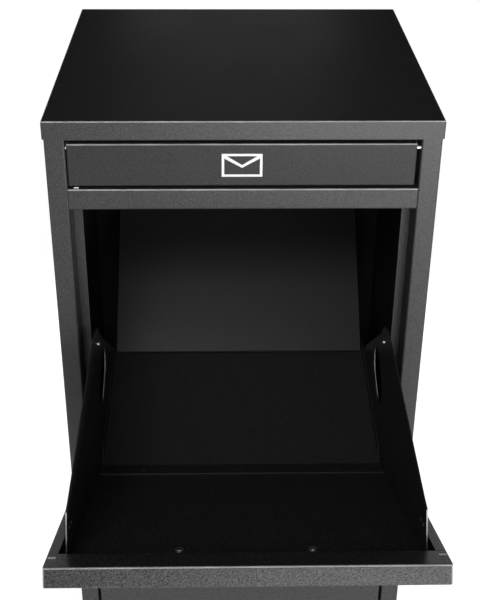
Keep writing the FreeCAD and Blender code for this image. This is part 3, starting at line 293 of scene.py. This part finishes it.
def stainless():
    """Brushed stainless bar."""
    look = material("stainless")
    brush = look.noise(60.0, detail=4.0, stretch=(1.0, 30.0, 30.0))
    color = look.tint(brush, (0.48, 0.48, 0.47), (0.62, 0.62, 0.61))
    look.surface(color, look.vary(brush, 0.22, 0.38), look.bump(brush, 0.02*MM, 0.5), Metallic=1.0)
    return look.owner


def nylon():
    """Moulded black nylon, matt."""
    look = material("nylon")
    grain = look.noise(900.0)
    color = look.tint(grain, (0.018, 0.018, 0.019), (0.034, 0.034, 0.035))
    look.surface(color, look.spread(grain, 0.45, 0.6), look.bump(grain, 0.03*MM, 0.5))
    return look.owner


def lock_chrome():
    """Chrome plate with faint finger smears."""
    look = material("lock_chrome")
    smear = look.noise(120.0, detail=4.0)
    color = look.tint(smear, (0.66, 0.66, 0.67), (0.78, 0.78, 0.79))
    roughness = look.spread(smear, 0.07, 0.2, 0.3, 0.8)
    look.surface(color, roughness, look.bump(smear, 0.01*MM, 0.3), Metallic=1.0)
    return look.owner


def symbol_white():
    """White satin paint of the envelope symbol."""
    look = material("symbol_white")
    grain = look.noise(700.0)
    color = look.tint(grain, (0.76, 0.76, 0.75), (0.86, 0.86, 0.85))
    look.surface(color, look.spread(grain, 0.35, 0.5), look.bump(grain, 0.03*MM, 0.4))
    return look.owner


def dress():
    """Gives every CAD node its own coat, or the finish of its material slot."""
    makers = (powder_coat, zinc, stainless, nylon, lock_chrome, symbol_white)
    finishes = {make.__name__: make() for make in makers}
    own = coats()
    slot_of = {part["node"]: part["material_slot"] for part in frame["record"]["subparts"]}
    for name, node in frame["nodes"].items():
        for slot in node.material_slots:
            slot.link = "OBJECT"
            slot.material = own.get(name) or finishes[slot_of[name]]


# ---------------------------------------------------------------- studio
def background_rays(look, reach=None):
    """1 for rays that see the white background: the camera's and, as far as reach says, mirrored and
    transmitted ones."""
    path = look.add("LightPath").outputs
    indirect = look.larger(path["Is Glossy Ray"], path["Is Transmission Ray"])
    if reach:
        indirect = look.times(indirect, reach)
    return look.larger(path["Is Camera Ray"], indirect)


def floor():
    """Pale floor that glows white for background rays, less so near the object, which paints shade around it;
    its real shadow also shows there.
    """
    bpy.ops.mesh.primitive_plane_add(size=FLOOR_SIZE)
    plane = bpy.context.object
    plane.name = "studio_floor"
    look = material("studio_floor")
    mottle = look.noise(3.0, detail=2.0)
    lit = look.surface(look.tint(mottle, 0.66, 0.70), look.spread(mottle, 0.7, 0.8))
    distance = look.add("VectorMath", operation="LENGTH")
    look.join(look.place, distance.inputs[0])
    # Weaker glow near the middle: painted shade around the object's foot, on top of its real shadow.
    strength = look.spread(distance.outputs["Value"], GLOW_NEAR, GLOW_FAR, RISE_START, RISE_END)
    both = look.add("AddShader")
    look.join(lit, both.inputs[0])
    look.join(look.glow("Emission", strength), both.inputs[1])
    look.choose(background_rays(look), lit, both.outputs["Shader"])
    plane.data.materials.append(look.owner)


def world():
    """Dim room, white all round to the camera, and up to the horizon to mirrored and transmitted rays."""
    scene = bpy.context.scene
    scene.world = bpy.data.worlds.new("studio")
    look = Look(scene.world, "World")
    start, end = (math.sin(math.radians(height)) for height in (SWEEP_WHITE, SWEEP_END))
    reach = look.spread(look.split(look.direction)["Z"], 1.0, 0.0, start, end)
    look.choose(background_rays(look, reach), look.glow("Background", ROOM), look.glow("Background", 1.0))


def softbox(name, place, aim, size, power):
    """Rectangular lamp of a size in metres and a power in watts, turned to face a point."""
    lamp = bpy.data.lights.new(name, "AREA")
    lamp.shape = "RECTANGLE"
    lamp.size, lamp.size_y = size
    lamp.energy = power
    holder = bpy.data.objects.new(name, lamp)
    holder.location = place
    holder.rotation_euler = (Vector(aim) - Vector(place)).to_track_quat("-Z", "Y").to_euler()
    bpy.context.collection.objects.link(holder)


def lights():
    """Low key in front on the right, boxes above and behind the camera, a dim one at the back that the roof
    mirrors, and low ones at the sides and rear for the other views."""
    softbox("key", (0.62, -1.80, 0.50), (0.05, -0.20, 0.80), (1.6, 0.5), 28.5)
    softbox("above", (-0.35, -2.00, 2.40), (0.0, -0.20, 0.90), (1.2, 0.5), 13.5)
    softbox("front", (0.0, -2.10, 1.55), (0.0, -0.10, 0.75), (2.4, 1.0), 8.5)
    softbox("back", (0.02, 2.40, 1.64), (0.0, 0.0, 1.0), (0.75, 0.7), 0.36)
    for side in (-1, 1):
        softbox("side", (2.2*side, 0.9, 0.50), (0.0, 0.1, 0.50), (0.8, 0.8), 14.0)
    softbox("rear", (0.0, 1.30, 0.50), (0.0, 0.0, 0.50), (0.3, 0.8), 7.0)


def camera():
    """Stands in front of the box, a little above it, and looks down at it."""
    data = bpy.data.cameras.new("camera")
    data.sensor_width = SENSOR
    data.lens = LENS
    data.shift_y = SHIFT
    heading, pitch, roll = (math.radians(angle) for angle in (HEADING, PITCH, ROLL))
    turn = Matrix.Rotation(-heading, 4, "Z") @ Matrix.Rotation(math.pi/2 - pitch, 4, "X")
    turn = turn @ Matrix.Rotation(roll, 4, "Z")
    holder = bpy.data.objects.new("camera", data)
    holder.matrix_world = Matrix.Translation(CAMERA_PLACE) @ turn
    bpy.context.collection.objects.link(holder)
    bpy.context.scene.camera = holder


def main():
    dress()
    floor()
    world()
    lights()
    camera()
    bpy.context.scene.view_settings.view_transform = "Standard"


main()
